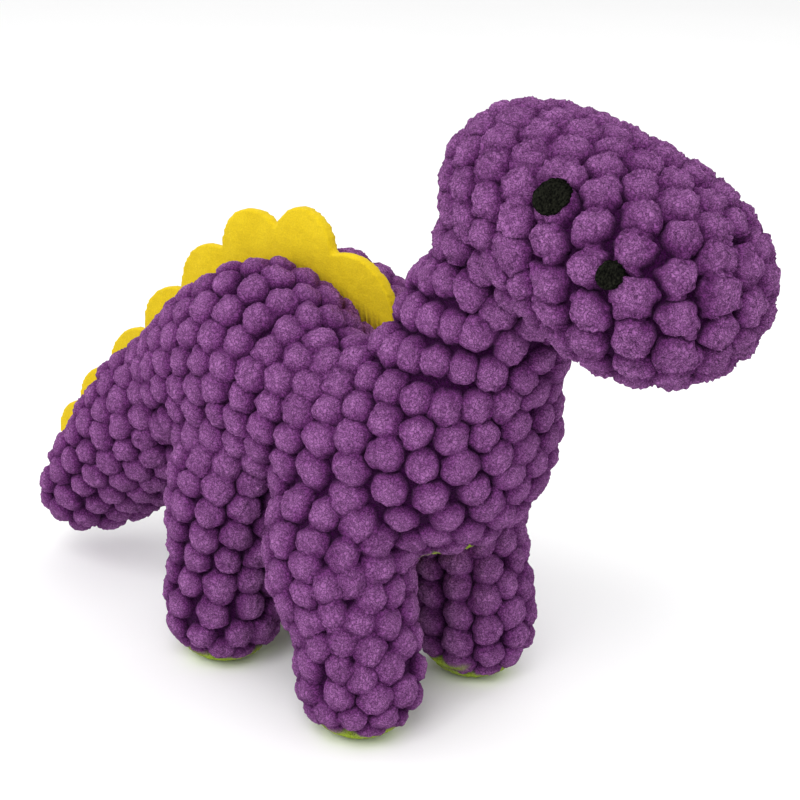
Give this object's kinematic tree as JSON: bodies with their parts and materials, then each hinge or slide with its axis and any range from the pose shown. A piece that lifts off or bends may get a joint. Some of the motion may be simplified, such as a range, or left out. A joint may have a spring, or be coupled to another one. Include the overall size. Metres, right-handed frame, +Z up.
{
  "type": "stuffed dinosaur",
  "caption": "Standing stuffed long-necked dinosaur in bobble plush with a lobed felt strip down its back, embroidered eyes and nostrils, and a press squeaker inside.",
  "frame": {"origin": "centre of the bounding box in plan, on the floor under the soles", "axes": "+X towards the head, +Y to the animal's left, +Z up"},
  "size_m": [0.2473, 0.085, 0.1729],
  "materials": {
    "purple_bobble_plush": "matte",
    "green_fleece": "matte",
    "yellow_felt": "matte",
    "black_thread": "satin",
    "white_stuffing": "matte",
    "white_plastic": "satin",
    "soft_vinyl": "satin",
    "reed_film": "gloss"
  },
  "bodies": {
    "torso": {"torso_cover_left": "purple_bobble_plush", "torso_cover_right": "purple_bobble_plush", "belly_panel": "green_fleece", "torso_stuffing": "white_stuffing", "back_spikes": "yellow_felt", "squeaker_base": "white_plastic", "squeaker_bellows": "soft_vinyl", "squeaker_reed_tube": "white_plastic", "squeaker_reed": "reed_film"},
    "squeaker_top": {"squeaker_cap": "white_plastic"},
    "neck": {"neck_cover": "purple_bobble_plush", "neck_stuffing": "white_stuffing"},
    "head": {"head_cover_left": "purple_bobble_plush", "head_cover_right": "purple_bobble_plush", "head_stuffing": "white_stuffing", "eye_left": "black_thread", "eye_right": "black_thread", "nostril_left": "black_thread", "nostril_right": "black_thread"},
    "tail": {"tail_cover": "purple_bobble_plush", "tail_stuffing": "white_stuffing", "tail_spikes": "yellow_felt"},
    "front_leg_left": {"front_leg_left_cover": "purple_bobble_plush", "front_leg_left_stuffing": "white_stuffing", "front_leg_left_sole": "green_fleece"},
    "front_leg_right": {"front_leg_right_cover": "purple_bobble_plush", "front_leg_right_stuffing": "white_stuffing", "front_leg_right_sole": "green_fleece"},
    "rear_leg_left": {"rear_leg_left_cover": "purple_bobble_plush", "rear_leg_left_stuffing": "white_stuffing", "rear_leg_left_sole": "green_fleece"},
    "rear_leg_right": {"rear_leg_right_cover": "purple_bobble_plush", "rear_leg_right_stuffing": "white_stuffing", "rear_leg_right_sole": "green_fleece"}
  },
  "joints": [
    {"name": "neck_bend", "type": "hinge", "parent": "torso", "child": "neck", "pos_m": [0.0402, 0, 0.101], "axis": [0, 1, 0], "range_deg": [-12, 12], "stiffness_Nm_per_rad": 1.5},
    {"name": "head_turn", "type": "hinge", "parent": "neck", "child": "head", "pos_m": [0.0495, 0, 0.1195], "axis": [0.4491, 0, 0.8935], "range_deg": [-25, 25], "stiffness_Nm_per_rad": 1.5},
    {"name": "tail_swing", "type": "hinge", "parent": "torso", "child": "tail", "pos_m": [-0.0543, 0, 0.073], "axis": [0, 0, 1], "range_deg": [-20, 20], "stiffness_Nm_per_rad": 1.5},
    {"name": "front_leg_left_swing", "type": "hinge", "parent": "torso", "child": "front_leg_left", "pos_m": [0.0202, 0.0245, 0.054], "axis": [0, -1, 0], "range_deg": [-10, 18], "stiffness_Nm_per_rad": 1.5},
    {"name": "front_leg_right_swing", "type": "hinge", "parent": "torso", "child": "front_leg_right", "pos_m": [0.0202, -0.0245, 0.054], "axis": [0, -1, 0], "range_deg": [-10, 18], "stiffness_Nm_per_rad": 1.5},
    {"name": "rear_leg_left_swing", "type": "hinge", "parent": "torso", "child": "rear_leg_left", "pos_m": [-0.0238, 0.0195, 0.056], "axis": [0, -1, 0], "range_deg": [-18, 10], "stiffness_Nm_per_rad": 1.5},
    {"name": "rear_leg_right_swing", "type": "hinge", "parent": "torso", "child": "rear_leg_right", "pos_m": [-0.0238, -0.0195, 0.056], "axis": [0, -1, 0], "range_deg": [-18, 10], "stiffness_Nm_per_rad": 1.5},
    {"name": "squeaker_press", "type": "slide", "parent": "torso", "child": "squeaker_top", "axis": [0, 0, -1], "range_m": [0, 0.005], "stiffness_N_per_m": 800, "deforming": ["squeaker_bellows"]}
  ]
}
